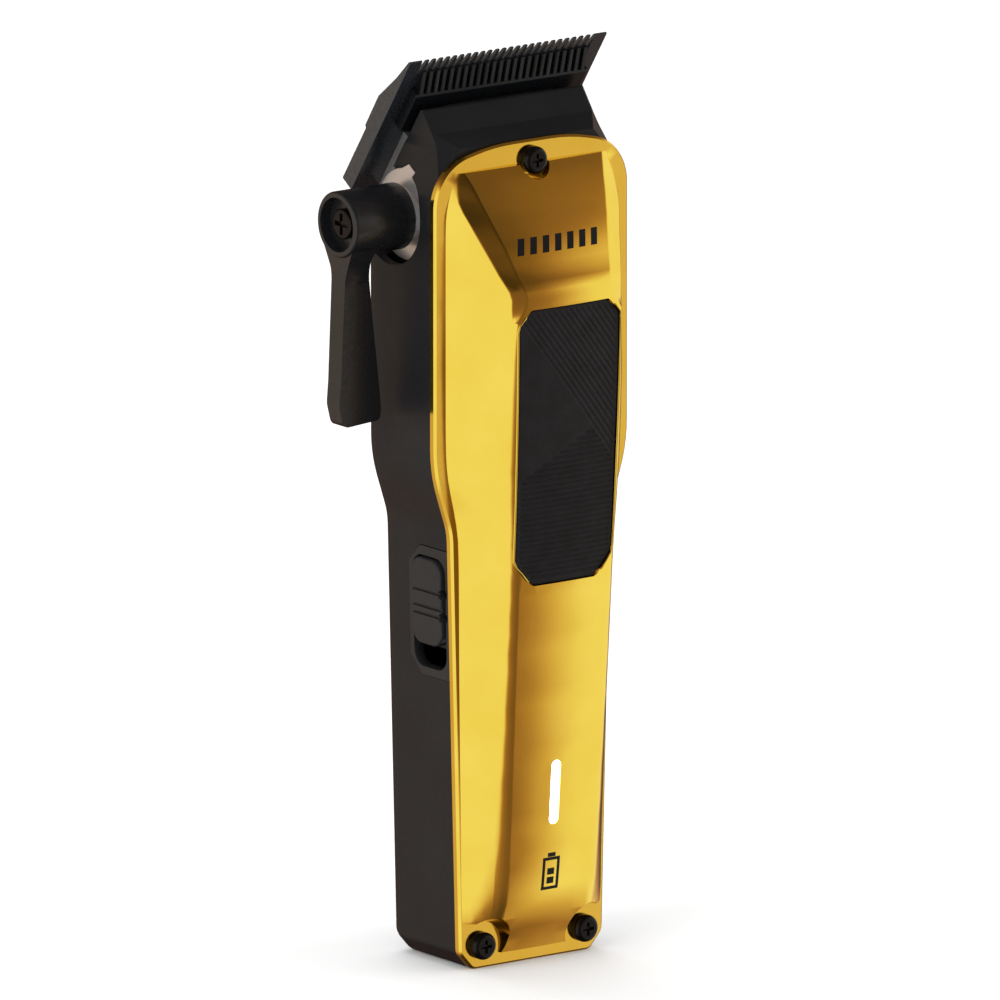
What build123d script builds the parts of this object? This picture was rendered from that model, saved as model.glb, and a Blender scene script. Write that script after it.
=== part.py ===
from build123d import *
import math
import os

# Cordless hair clipper standing on its tail: every piece is written to parts/NODE.step.
#
# Frame, in millimetres: the origin is the middle of the flat tail face, +Z runs up the body to the
# blade, -Y faces the metallic front cover, and -X is the side with the taper lever and the switch.
# The blade has its own frame: x as above, u from the tip line to the heel, v out to the skin side.

# ---------------------------------------------------------------- driving dimensions
COVER_Y = -12.0            # front face of the cover's flat rim
RIM_THICKNESS = 1.5
WALL = 2.0
TAIL_FLAT_HALF = 14.1
TAIL_HALF, TAIL_CORNER_Z = 17.1, 3.4
GRIP_HALF, GRIP_Z = 19.2, 86.5
HEAD_HALF, HEAD_LOW_Z = 23.1, 98.6
NOSE_HALF = 19.4
SEAM_INSET = 0.25          # the housing stands this far inside the cover's rim

TILT = math.radians(34.4)  # between the blade and the body's length
TIP_Y, TIP_Z = -4.7, 177.9
BLADE_HALF = 23.45
BLADE_LENGTH = 35.2
TOOTH_PITCH = 1.67
TOOTH_GAPS = 25
CUTTER_HALF = 20.4
CUTTER_TIP_U, CUTTER_END_U = 2.6, 16.5
CUTTER_BACK_V = -2.3
STROKE = 1.3               # of the cutter, each way
SLIDING_GAP = 0.04
BED_V = -3.65
LEDGE_V = -10.8            # above this the head is only as wide as its nose

HUB_U, HUB_V = 29.8, -11.7
HUB_R, HUB_BORE_R = 6.45, 5.3
HUB_OUT_X, HUB_IN_X = -35.7, -21.6
ECCENTRIC = 2.05
HALF_SWING = math.radians(27.5)
CAM_R, CAM_PIN_R = 3.0, 1.1
CAM_CLEARANCE = 0.04
BUSH_R = 4.6

MOTOR_Y = -1.0
MOTOR_R = 10.0
MOTOR_LOW_Z, MOTOR_HIGH_Z = 101.0, 133.0
CRANK_THROW, CRANK_PIN_R = 1.3, 1.0
MOTOR_SHAFT_R = 1.5
BEARING_R, BEARING_GAP = 3.0, 0.04
BATTERY_R, BATTERY_Y, BATTERY_LOW_Z, BATTERY_HIGH_Z = 7.6, 0.6, 24.0, 89.0

COVER_WALL = 1.6
PAD_DEPTH = 1.2
SWITCH_TRAVEL = 4.3
SCREW_X, SCREW_Z = 12.2, 4.6
TOP_SCREW_Z = 157.5
COVER_HEAD_R, COVER_HEAD_H = 2.7, 1.9
COVER_SHANK_R = 1.25
LOW_RELIEF_R, TOP_RELIEF_R = 4.7, 3.5
RELIEF_FLARE, RELIEF_DEPTH = 1.6, 5.0
COVER_HEAD_ROUND, RECESS_DEPTH = 0.9, 0.7

# ---------------------------------------------------------------- frames and helpers
U_Y, U_Z = math.sin(TILT), -math.cos(TILT)
V_Y, V_Z = math.cos(TILT), math.sin(TILT)
blade_plane = Plane(origin=(0, TIP_Y, TIP_Z), x_dir=(1, 0, 0), z_dir=(0, V_Y, V_Z))


def yz(u, v):
    """A point of the blade's frame as (Y, Z)."""
    return (TIP_Y + u * U_Y + v * V_Y, TIP_Z + u * U_Z + v * V_Z)


HUB_Y, HUB_Z = yz(HUB_U, HUB_V)


def mirrored(right):
    """A closed outline from its right half, listed upwards."""
    return list(right) + [(-x, z) for x, z in reversed(right)]


def polygon(points, radii=None):
    """A face from its corners, rounded as {corner's index: radius}."""
    face = make_face(Polyline(*points, close=True))
    for radius in sorted(set((radii or {}).values())):
        targets = [Vector(*points[i]) for i, r in radii.items() if r == radius]
        corners = [v for v in face.vertices() if any((Vector(v) - t).length < 1e-4 for t in targets)]
        face = fillet(corners, radius)
    return face


def both_sides(points, radii):
    """The same rounding on the left half of a mirrored outline."""
    last = len(points) - 1
    return {**radii, **{last - i: r for i, r in radii.items()}}


def front_prism(face, y0, y1):
    """A face drawn in X and Z as a solid from y0 to y1."""
    return extrude(Plane.XZ.offset(-y1) * face, amount=y1 - y0)


def side_prism(face, x0, x1):
    """A face drawn in Y and Z as a solid from x0 to x1."""
    return extrude(Plane.YZ.offset(x0) * face, amount=x1 - x0)


def blade_side_prism(points, x0, x1):
    """A polygon of (u, v) points as a solid from x0 to x1."""
    return side_prism(polygon([yz(u, v) for u, v in points]), x0, x1)


def blade_prism(face, v0, v1):
    """A face drawn in x and u as a solid from v0 to v1."""
    return extrude(blade_plane.offset(v0) * face, amount=v1 - v0)


def box(x0, x1, y0, y1, z0, z1):
    return Pos((x0 + x1) / 2, (y0 + y1) / 2, (z0 + z1) / 2) * Box(x1 - x0, y1 - y0, z1 - z0)


def blade_box(x0, x1, u0, u1, v0, v1):
    return blade_plane.location * box(x0, x1, u0, u1, v0, v1)


def blade_rod(radius, x, u, v0, v1):
    """A round bar square to the blade."""
    return blade_plane.location * Pos(x, u, (v0 + v1) / 2) * Cylinder(radius, v1 - v0)


def rod_x(radius, x0, x1, y, z):
    return Pos((x0 + x1) / 2, y, z) * Rot(0, 90, 0) * Cylinder(radius, x1 - x0)


def rod_y(radius, y0, y1, x, z):
    return Pos(x, (y0 + y1) / 2, z) * Rot(90, 0, 0) * Cylinder(radius, y1 - y0)


def rod_z(radius, z0, z1, x=0.0, y=MOTOR_Y):
    return Pos(x, y, (z0 + z1) / 2) * Cylinder(radius, z1 - z0)


def cut_beyond(shape, points, size=60.0):
    """Removes what lies past the plane of three points, on the side its normal points to."""
    a, b, c = (Vector(*p) for p in points)
    plane = Plane(origin=a, x_dir=b - a, z_dir=(b - a).cross(c - a))
    return shape - plane.location * Pos(0, 0, size / 2) * Box(size * 2, size * 2, size)


# ---------------------------------------------------------------- outlines of the body
def body_outline(top_points, top_radii, inset, floor_z):
    """The body seen from the front, closed at the top by top_points."""
    right = [
        (TAIL_FLAT_HALF - inset, floor_z), (TAIL_HALF - inset, TAIL_CORNER_Z + floor_z * 0.5),
        (GRIP_HALF - inset, GRIP_Z), (HEAD_HALF - inset, HEAD_LOW_Z),
    ] + top_points
    radii = {0: 2.0, 1: 2.5, 2: 14.0, 3: 30.0}
    radii.update({4 + i: r for i, r in enumerate(top_radii) if r})
    points = mirrored(right)
    return polygon(points, both_sides(points, radii))


def cover_outline(inset=0.0):
    top = [(HEAD_HALF - inset, 158.2 - inset), (9.0 - inset, 161.4 - inset)]
    return body_outline(top, [10.0 - inset, 40.0], inset, inset)


def housing_outline(inset, floor_z=0.0):
    top = [(HEAD_HALF - inset, 149.5), (NOSE_HALF - inset, 161.5), (NOSE_HALF - inset, 173.0)]
    return body_outline(top, [20.0, 9.0, None], inset, floor_z)


NOSE = (-2.6, 168.5)
CREASE = (-6.3, 163.6)
HOUSING_FRONT = COVER_Y + RIM_THICKNESS
BACK_TAIL, BACK_GRIP, BACK_HEAD = 10.2, 10.6, 12.3
BACK_ROUND = 5.0

side_profile = polygon(
    [
        (HOUSING_FRONT, 0), (BACK_TAIL - 2.4, 0), (BACK_TAIL, 2.4), (BACK_GRIP, 55), (BACK_HEAD, 90),
        yz(35.4, BED_V), NOSE, CREASE, (HOUSING_FRONT, 161.2),
    ],
    {1: 1.5, 2: 1.5, 3: 60.0, 4: 60.0, 5: 1.2, 6: 0.8},
)
cavity_profile = polygon([
    (HOUSING_FRONT - 5, WALL), (BACK_TAIL - 2.6, WALL), (BACK_TAIL - WALL, 4.6),
    (BACK_GRIP - WALL, 55), (BACK_HEAD - WALL, 90), yz(35.8, BED_V - 2.1),
    (-3.6, 165.0), (-7.0, 161.0), (HOUSING_FRONT - 5, 158.6),
])

# ---------------------------------------------------------------- rear housing
housing = front_prism(housing_outline(SEAM_INSET), HOUSING_FRONT, BACK_HEAD)
housing = fillet(housing.faces().sort_by(Axis.Y)[-1].edges(), BACK_ROUND)
housing &= side_prism(side_profile, -HEAD_HALF, HEAD_HALF)
cavity = front_prism(housing_outline(WALL + SEAM_INSET, WALL), HOUSING_FRONT - 2, BACK_HEAD + 1)
cavity &= side_prism(cavity_profile, -HEAD_HALF, HEAD_HALF)
beside_bed = [(-9, LEDGE_V), (60, LEDGE_V), (60, 20), (-9, 20)]
beside_cavity = [(u, v if v > 0 else v - WALL) for u, v in beside_bed]
for side in (-1, 1):
    ledge = sorted((side * NOSE_HALF, side * (HEAD_HALF + 3)))
    inner_ledge = sorted((side * (NOSE_HALF - WALL), side * HEAD_HALF))
    housing -= blade_side_prism(beside_bed, *ledge)
    cavity -= blade_side_prism(beside_cavity, *inner_ledge)
    corner = [(21.6, HOUSING_FRONT, 154.6), (15.2, HOUSING_FRONT, 161.9), (18.6, *CREASE)]
    if side > 0:
        corner[0], corner[1] = corner[1], corner[0]
    housing = cut_beyond(housing, [(side * x, y, z) for x, y, z in corner], 12.0)
    cavity = cut_beyond(cavity, [(side * (x - 1.4), y + 0.8, z - 1.2) for x, y, z in corner], 14.0)
housing -= cavity

# the arched recess round the lever's hub, and its floor
RECESS_R, RECESS_X = 9.4, -NOSE_HALF + 0.6
PLATE_ARCH = [(-8.9, 0.0), (8.0, 0.0), (8.0, 6.3), (4.5, 7.1), (-4.5, 7.1), (-8.9, 4.7)]


def plate_arch(x0, x1, grow):
    """The upper part of the steel plate behind the hub, from x0 to x1."""
    spread = [(u + math.copysign(grow, u), v + grow * (v > 0)) for u, v in PLATE_ARCH]
    return blade_side_prism([(HUB_U + u, HUB_V + v) for u, v in spread], x0, x1)


recess = rod_x(RECESS_R, -HEAD_HALF - 2, RECESS_X, HUB_Y, HUB_Z)
recess += plate_arch(-HEAD_HALF - 2, RECESS_X, 0.1)
hub_backing = rod_x(RECESS_R + 1.6, RECESS_X, RECESS_X + WALL, HUB_Y, HUB_Z)
housing += hub_backing & side_prism(side_profile, -HEAD_HALF, 0)
housing -= recess
housing -= rod_x(BUSH_R, -HEAD_HALF, RECESS_X + WALL + 1, HUB_Y, HUB_Z)

# openings in the bed for the cutter's drive arm and the carrier's tab
DRIVE_OPENING = (11.3, 21.2)
BLADE_TRAVEL = 2 * ECCENTRIC * math.sin(HALF_SWING)
TAB_U0 = HUB_U - BLADE_TRAVEL / 2 - 2.5
TAB_U1 = TAB_U0 + 5.0
housing -= blade_box(-8.9, 8.9, *DRIVE_OPENING, BED_V - 2.7, BED_V + 1)
housing -= blade_box(-14.7, -10.3, TAB_U0 - 0.5, TAB_U1 + BLADE_TRAVEL + 0.5, BED_V - 6, BED_V + 1)
GUIDE_X, GUIDE_U = 13.5, 22.6
for x in (-GUIDE_X, GUIDE_X):
    housing -= blade_rod(1.6, x, GUIDE_U, BED_V - 1.4, BED_V + 1)
SPRING_X, SPRING_U0, SPRING_U1, SPRING_WIRE_R, SPRING_V = 13.0, 10.65, 17.4, 0.4, -2.95
for x in (-SPRING_X, SPRING_X):
    housing -= blade_rod(0.55, x, SPRING_U1, BED_V - 1.3, BED_V + 1)

# switch pocket in the left wall
SWITCH_Y0, SWITCH_Y1, SWITCH_Z0, SWITCH_Z1 = HOUSING_FRONT + 0.12, 2.0, 57.0, 82.6
WALL_LEAN = math.atan((GRIP_HALF - TAIL_HALF) / (GRIP_Z - TAIL_CORNER_Z))
SWITCH_MID_Z = (SWITCH_Z0 + SWITCH_Z1) / 2
SWITCH_X = -(TAIL_HALF - SEAM_INSET + (SWITCH_MID_Z - TAIL_CORNER_Z) * math.tan(WALL_LEAN))
switch_plane = Plane(
    origin=(SWITCH_X, 0, SWITCH_MID_Z), x_dir=(0, 1, 0), z_dir=(-math.cos(WALL_LEAN), 0, -math.sin(WALL_LEAN))
)


def on_wall(face, depth, height):
    """A face drawn in y and down the wall, as a solid from depth inside the wall to height outside."""
    return extrude(switch_plane.offset(-depth) * face, amount=depth + height)


def switch_face(y0, y1, z0, z1, radius):
    centre_y, centre_z = (y0 + y1) / 2, SWITCH_MID_Z - (z0 + z1) / 2
    return Pos(centre_y, -centre_z if switch_plane.y_dir.Z > 0 else centre_z) * RectangleRounded(
        y1 - y0, z1 - z0, radius
    )


SLIDER_Y0, SLIDER_Y1, SLIDER_Z0, SLIDER_Z1 = -8.9, 0.5, 63.3, 80.4
SLOT_GAP = 0.3
SLOT_FRONT_GAP = 0.7
GROOVES_Z = (69.4, 70.9, 74.0)
INDEX_R = 0.95
INDEX_Z = (69.4, 74.0)
BEZEL_THICKNESS = 1.5
BEZEL_CORNER = 3.6


def bezel_outline(gap):
    """The bezel seen square to the wall, its rear corners cut off, grown by a gap all round."""
    half_length, cut = (SWITCH_Z1 - SWITCH_Z0) / 2 + gap, BEZEL_CORNER + 0.4 * gap
    front, rear = SWITCH_Y0 - gap, SWITCH_Y1 + gap
    points = [(front, -half_length), (rear - cut, -half_length), (rear, cut - half_length),
              (rear, half_length - cut), (rear - cut, half_length), (front, half_length)]
    return polygon(points, {1: 1.5, 2: 1.5, 3: 1.5, 4: 1.5})


bezel_face = bezel_outline(0.0)
pocket_face = bezel_outline(0.1)
slot_face = switch_face(SLIDER_Y0 - SLOT_FRONT_GAP, SLIDER_Y1 + SLOT_GAP,
                        SLIDER_Z0 - SWITCH_TRAVEL - SLOT_GAP, SLIDER_Z1 + SLOT_GAP, 3.0)
housing -= on_wall(pocket_face, 1.3, 2)
housing -= on_wall(slot_face, 6, 2)

# tail: charging socket opening, contact holes and the screw bosses
PORT_HALF_X, PORT_HALF_Y, PORT_Y = 4.6, 1.7, 0.0
housing -= Pos(0, PORT_Y, 1) * Box(2 * PORT_HALF_X + 0.2, 2 * PORT_HALF_Y + 0.2, 6)
CONTACT_X, CONTACT_Y, CONTACT_R = 9.0, 0.0, 1.5
for x in (-CONTACT_X, CONTACT_X):
    housing -= rod_z(CONTACT_R + 0.02, -1, 5, x, CONTACT_Y)
SCREWS = [(-SCREW_X, SCREW_Z), (SCREW_X, SCREW_Z), (0.0, TOP_SCREW_Z)]
BOSS_R, LOW_BOSS_DEPTH, TOP_BOSS_DEPTH = 3.2, 7.5, 4.0
housing_reach = front_prism(housing_outline(SEAM_INSET), HOUSING_FRONT, BACK_HEAD)
housing_reach &= side_prism(side_profile, -HEAD_HALF, HEAD_HALF)
for x, z in SCREWS:
    depth = TOP_BOSS_DEPTH if z == TOP_SCREW_Z else LOW_BOSS_DEPTH
    housing += rod_y(BOSS_R, HOUSING_FRONT, HOUSING_FRONT + depth, x, z) & housing_reach
    housing -= rod_y(COVER_SHANK_R, HOUSING_FRONT - 1, HOUSING_FRONT + depth - 1, x, z)
CHASSIS_SCREWS = [(-12.4, 20.0), (12.4, 20.0), (-12.4, 94.6), (12.4, 94.6)]
CHASSIS_Y = -7.4
for x, z in CHASSIS_SCREWS:
    housing += rod_y(2.2, CHASSIS_Y + 0.02, BACK_TAIL - 1.0 if z < 50 else BACK_HEAD - 1.0, x, z)
    housing -= rod_y(0.9, CHASSIS_Y - 1, CHASSIS_Y + 6, x, z)

# ---------------------------------------------------------------- front cover
# The raised part, section by section up the body: z, height and half-width of the panel, and
# half-width of the base. Below the brow its flanks are one rounded surface.
HUMP_ROWS = [
    (2.6, 0.35, 10.4, 13.6),
    (5.2, 1.4, 10.5, 15.9),
    (10.0, 3.8, 10.8, 16.6),
    (16.0, 5.3, 10.9, 16.8),
    (28.0, 6.5, 11.2, 16.9),
    (41.0, 7.5, 11.4, 17.1),
    (60.0, 8.9, 11.7, 17.3),
    (78.0, 10.1, 11.9, 17.4),
    (85.0, 10.5, 12.1, 17.6),
    (91.0, 10.85, 12.3, 18.6),
    (97.0, 11.15, 12.4, 19.9),
    (102.0, 11.4, 12.45, 20.4),
    (108.0, 11.7, 12.5, 20.5),
    (118.0, 12.1, 12.5, 20.5),
    (129.0, 12.35, 12.3, 20.5),
]
# Above the brow a flat facet runs beside the sloping panel: z, height and half-width of the panel,
# half-width and height of the edge between facet and flank, and half-width of the base.
SLOPE_ROWS = [
    (129.0, 12.35, 12.3, 13.3, 10.9, 20.5),
    (133.4, 12.05, 10.0, 13.0, 11.2, 20.5),
    (138.0, 10.1, 11.2, 14.5, 9.0, 20.5),
    (143.0, 7.9, 12.4, 16.2, 6.4, 20.5),
    (148.0, 5.35, 13.9, 17.9, 3.85, 20.4),
    (151.5, 3.5, 14.9, 18.6, 1.7, 19.8),
    (154.6, 1.8, 15.7, 18.1, 0.7, 18.8),
    (156.9, 0.35, 16.4, 17.1, 0.15, 17.6),
]
ROW_SPACING = 4.0          # the sections that are made lie about this far apart
CROWN = 0.5                # how far the panel bulges in its middle
FLANK_BULGE = 0.3
CREASE_REACH = 1.5         # how far the rounding of the panel's edge reaches
FACET_REACH = 0.4


def smooth_rows(rows, spacing):
    """More rows between the given ones, on smooth curves that never overshoot them."""
    slopes = []
    for before, row, after in zip(rows, rows[1:], rows[2:]):
        pair = [[(b - a) / (q[0] - p[0]) for a, b in zip(p, q)] for p, q in ((before, row), (row, after))]
        slopes.append([2 * a * b / (a + b) if a * b > 0 else 0.0 for a, b in zip(*pair)])
    ends = [[(b - a) / (q[0] - p[0]) for a, b in zip(p, q)] for p, q in (rows[:2], rows[-2:])]
    slopes = [ends[0], *slopes, ends[1]]
    made = []
    for low, high, leaving, reaching in zip(rows, rows[1:], slopes, slopes[1:]):
        length = high[0] - low[0]
        count = math.ceil(length / spacing)
        for step in range(count):
            t = step / count
            made.append(tuple(
                (1 + 2 * t) * (1 - t) ** 2 * a + t * t * (3 - 2 * t) * b
                + length * t * (1 - t) * ((1 - t) * m - t * n)
                for a, b, m, n in zip(low, high, leaving, reaching)
            ))
    return made + [tuple(rows[-1])]


def rounded_corner(before, corner, after, reach):
    """Start, middle and end of the arc that rounds a corner over reach."""
    corner = Vector(*corner)
    back, on = (Vector(*before) - corner).normalized(), (Vector(*after) - corner).normalized()
    half = math.radians(back.get_angle(on) / 2)
    middle = corner + (back + on).normalized() * reach * (1 - math.sin(half)) / math.cos(half)
    return [(v.X, v.Y) for v in (corner + back * reach, middle, corner + on * reach)]


def mirrored_arc(arc):
    return [(-x, y) for x, y in reversed(arc)]


def section(z, height, half, edge, edge_height, base, crease_reach, edge_reach):
    """A section of the raised part: base, flank, facet and crowned panel, with rounded creases."""
    top = COVER_Y - height
    low, side, crest = (base, COVER_Y), (edge, COVER_Y - edge_height), (half, top)
    flank = rounded_corner(low, side, crest, edge_reach)
    crease = rounded_corner(side, crest, (0, top - 2 * CROWN), crease_reach)
    foot = (base, COVER_Y + RIM_THICKNESS)
    right = [Line(foot, low), Line(low, flank[0]), ThreePointArc(*flank), Line(flank[-1], crease[0]),
             ThreePointArc(*crease)]
    crown = ThreePointArc(crease[-1], (0, top - CROWN), (-crease[-1][0], crease[-1][1]))
    other_flank, other_crease = mirrored_arc(flank), mirrored_arc(crease)
    left = [ThreePointArc(*other_crease), Line(other_crease[-1], other_flank[0]), ThreePointArc(*other_flank),
            Line(other_flank[-1], (-base, COVER_Y)), Line((-base, COVER_Y), (-base, foot[1]))]
    close = Line((-base, foot[1]), foot)
    return Pos(0, 0, z) * make_face(Wire(right + [crown] + left + [close]))


def hump():
    """The raised part's outer skin as a solid."""
    rows = []
    for z, height, half, base in smooth_rows(HUMP_ROWS, ROW_SPACING):
        fade = min(1.0, height / 5, 0.15 + (HUMP_ROWS[-1][0] - z) / 12)
        bulge = FLANK_BULGE * fade
        edge, edge_height = (half + base) / 2 + bulge, height / 2 + bulge
        reach = FACET_REACH + (CREASE_REACH - FACET_REACH) * fade if height > 1 else 0.1
        rows.append(section(z, height, half, edge, edge_height, base, reach, 1.5 * reach))
    slope = []
    for row in smooth_rows(SLOPE_ROWS, ROW_SPACING / 2):
        reach = min(FACET_REACH, 0.3 * row[1])
        slope.append(section(*row, reach, reach))
    return loft(rows, ruled=True) + loft(slope, ruled=True)


def plain_section(z, half, height, lower):
    """A simpler section for hollows and pockets; lower lists its right side upwards."""
    top = COVER_Y - height
    side = Polyline((half, top), *reversed(lower), *[(-x, y) for x, y in lower], (-half, top))
    crown = ThreePointArc((-half, top), (0, top - CROWN), (half, top))
    return Pos(0, 0, z) * make_face(side + crown)


PANEL_ROWS = smooth_rows(HUMP_ROWS, ROW_SPACING)[:-1]
PANEL_ROWS += [(z, height, half, base) for z, height, half, _, _, base in SLOPE_ROWS]


def hump_hollow(wall):
    """What is hollow inside the raised part, leaving a wall all round."""
    sections = []
    for z, height, half, base in PANEL_ROWS:
        if 8 < z < 151:
            z += wall if z < 12 else (-wall if z > 140 else 0)
            base, half, height = base - 1.3 * wall, half - 0.9 * wall, height - wall
            lower = [(base, COVER_Y + 2 * RIM_THICKNESS), (base, COVER_Y)]
            sections.append(plain_section(z, half, height, lower))
    return loft(sections, ruled=True)


def panel_block(inward):
    """All that lies behind the panel moved inward, as wide as the panel."""
    return loft([
        plain_section(z, half, height - inward, [(half, COVER_Y)])
        for z, height, half, _ in PANEL_ROWS if 20 < z < 145
    ], ruled=True)


def screw_relief(z):
    """Radius of the scallop round a cover screw at height z."""
    return TOP_RELIEF_R if z == TOP_SCREW_Z else LOW_RELIEF_R


RIM_BEVEL = 0.45
rim = front_prism(cover_outline(), COVER_Y, COVER_Y + RIM_THICKNESS)
rim = chamfer(rim.faces().sort_by(Axis.Y)[0].edges(), RIM_BEVEL)
outer_hump = hump()
for x, z in SCREWS:
    outer_hump -= rod_y(screw_relief(z), COVER_Y - 20, COVER_Y, x, z)
for side in (-1, 1):
    flare = Cone(LOW_RELIEF_R, LOW_RELIEF_R + RELIEF_FLARE, RELIEF_DEPTH)
    outer_hump -= Pos(side * SCREW_X, COVER_Y - RELIEF_DEPTH / 2, SCREW_Z) * Rot(90, 0, 0) * flare
    beside = sorted((side * SCREW_X, side * HEAD_HALF))
    outer_hump -= box(*beside, COVER_Y - RELIEF_DEPTH, COVER_Y, 0, SCREW_Z + LOW_RELIEF_R)
inner_hump = hump_hollow(COVER_WALL)
for x, z in SCREWS:
    inner_hump -= rod_y(screw_relief(z) + COVER_WALL, COVER_Y - 20, COVER_Y + 5, x, z)
cover = rim + outer_hump - inner_hump
for x, z in SCREWS:
    cover -= rod_y(COVER_SHANK_R + 0.15, COVER_Y - 5, COVER_Y + 5, x, z)

# the pad's pocket follows the crest
PAD_POINTS = mirrored([(7.5, 76.6), (11.5, 81.2), (12.0, 128.2), (9.2, 131.2)])
PAD_RADII = {0: 1.5, 1: 1.5, 2: 1.5, 3: 1.2}
pad_face = polygon(PAD_POINTS, both_sides(PAD_POINTS, PAD_RADII))
PAD_SUNK = 0.35
PAD_SEAT = 1.1
under_panel = panel_block(PAD_SUNK)
pad_floor = panel_block(PAD_SUNK + PAD_DEPTH)
pad = front_prism(pad_face, COVER_Y - 20, COVER_Y) & under_panel
pad -= pad_floor
pocket_face_pad = offset(pad_face, amount=0.05)
pocket = front_prism(pocket_face_pad, COVER_Y - 20, COVER_Y) - pad_floor
seat = front_prism(offset(pad_face, amount=1.4), COVER_Y - 13, COVER_Y)
seat &= pad_floor - panel_block(PAD_SUNK + PAD_DEPTH + PAD_SEAT)
seat &= outer_hump
cover = cover + seat - pocket

# light pipe and its slot
PIPE_LOW_Z, PIPE_HIGH_Z, PIPE_HALF = 28.2, 40.9, 1.05
pipe_face = Pos(0, (PIPE_LOW_Z + PIPE_HIGH_Z) / 2) * RectangleRounded(
    2 * PIPE_HALF, PIPE_HIGH_Z - PIPE_LOW_Z, PIPE_HALF - 0.02
)
pipe_reach = front_prism(pipe_face, COVER_Y - 9, COVER_Y - 3.4)
light_pipe = pipe_reach & panel_block(0.1)
cover -= front_prism(offset(pipe_face, amount=0.03), COVER_Y - 20, COVER_Y - 1)

# ---------------------------------------------------------------- screws of the cover
def cover_screw(x, z):
    """A round headed screw with a small cross recess."""
    top = COVER_Y - COVER_HEAD_H
    head = rod_y(COVER_HEAD_R, top, COVER_Y - 0.01, x, z)
    head = fillet(head.faces().sort_by(Axis.Y)[0].edges(), COVER_HEAD_ROUND)
    for half_x, half_z in ((1.3, 0.3), (0.3, 1.3)):
        head -= box(x - half_x, x + half_x, top - 1, top + RECESS_DEPTH, z - half_z, z + half_z)
    length = 2.6 if z == TOP_SCREW_Z else 5.5
    return head + rod_y(COVER_SHANK_R - 0.03, COVER_Y - 0.02, COVER_Y + RIM_THICKNESS + length, x, z)


cover_screws = Compound(children=[cover_screw(x, z) for x, z in SCREWS])

# ---------------------------------------------------------------- switch
bezel = on_wall(bezel_face, 1.28, BEZEL_THICKNESS - 1.28)
bezel -= on_wall(slot_face, 3, 3)
INDEX_Y = SLIDER_Y0 - 0.2
index_notches = [
    switch_face(INDEX_Y - INDEX_R, INDEX_Y + INDEX_R, z - INDEX_R, z + INDEX_R, INDEX_R - 0.01)
    for z in INDEX_Z
]
for notch in index_notches:
    bezel -= on_wall(notch, 3, 3)
slider_face = switch_face(SLIDER_Y0, SLIDER_Y1, SLIDER_Z0, SLIDER_Z1, 2.9)
slider = on_wall(slider_face, 2.2, 0.9)
slider = fillet(slider.faces().sort_by(Axis.X)[0].edges(), 0.5)
for z in GROOVES_Z:
    slider -= on_wall(switch_face(SLIDER_Y0 - 1, SLIDER_Y1 + 1, z - 0.3, z + 0.3, 0.25), -0.45, 2)
for notch in index_notches:
    slider -= on_wall(notch, 3, 3)
SWITCH_BODY_X = -14.9
slider += box(SWITCH_X + 0.6, SWITCH_BODY_X + 1.5, -5.6, -3.2, 70.6, 73.2)
switch_body = box(SWITCH_BODY_X, SWITCH_BODY_X + 4.5, -7.9, -0.9, 62.0, 78.0)
switch_body -= box(SWITCH_BODY_X - 1, SWITCH_BODY_X + 2.0, -5.9, -2.9, 70.6 - SWITCH_TRAVEL - 0.4, 73.6)

# ---------------------------------------------------------------- chassis, battery and electronics
chassis = box(-14.8, 14.8, CHASSIS_Y - 1.4, CHASSIS_Y, 14.0, 97.0)
chassis -= box(-15.0, -9.9, -9, 0, 60.0, 80.0)
for x, z in CHASSIS_SCREWS:
    chassis -= rod_y(1.1, CHASSIS_Y - 3, CHASSIS_Y + 3, x, z)
for z in (32.0, 84.0):
    cradle = box(-10.4, 10.4, CHASSIS_Y - 0.1, BATTERY_Y + 1.0, z - 2.0, z + 2.0)
    chassis += cradle - rod_z(BATTERY_R + 0.05, z - 3, z + 3, 0, BATTERY_Y)
chassis_screws = Compound(children=[
    rod_y(1.9, CHASSIS_Y - 2.6, CHASSIS_Y - 1.42, x, z) + rod_y(0.88, CHASSIS_Y - 1.5, CHASSIS_Y + 5, x, z)
    for x, z in CHASSIS_SCREWS
])
battery = fillet(rod_z(BATTERY_R, BATTERY_LOW_Z, BATTERY_HIGH_Z, 0, BATTERY_Y).edges(), 0.6)
battery_tabs = Compound(children=[
    box(-3, 3, CHASSIS_Y + 0.01, BATTERY_Y + 3, z - 0.2, z + 0.2)
    for z in (BATTERY_LOW_Z - 0.21, BATTERY_HIGH_Z + 0.21)
])
BOARD_Y = CHASSIS_Y - 1.42
BOARD_T = 1.2
circuit_board = box(-9.4, 9.4, BOARD_Y - BOARD_T, BOARD_Y, 15.0, 66.0)
controller_chip = box(-3.2, 3.2, BOARD_Y - BOARD_T - 1.01, BOARD_Y - BOARD_T - 0.01, 50.0, 56.4)
board_parts = Compound(children=[
    box(x - 1.1, x + 1.1, BOARD_Y - BOARD_T - 0.91, BOARD_Y - BOARD_T - 0.01, z - 0.7, z + 0.7)
    for x in (-6.6, 6.6) for z in (44.0, 48.0, 58.0, 62.0)
])
indicator_led = box(-1.3, 1.3, BOARD_Y - BOARD_T - 1.31, BOARD_Y - BOARD_T - 0.01, 32.5, 36.5)
port_shell = Pos(0, PORT_Y, 4.6) * Box(2 * PORT_HALF_X, 2 * PORT_HALF_Y, 7.4)
port_shell -= Pos(0, PORT_Y, 3.7) * Box(2 * PORT_HALF_X - 0.6, 2 * PORT_HALF_Y - 0.6, 7.4)
port_tongue = Pos(0, PORT_Y, 4.4) * Box(6.6, 0.7, 6.0)
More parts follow.
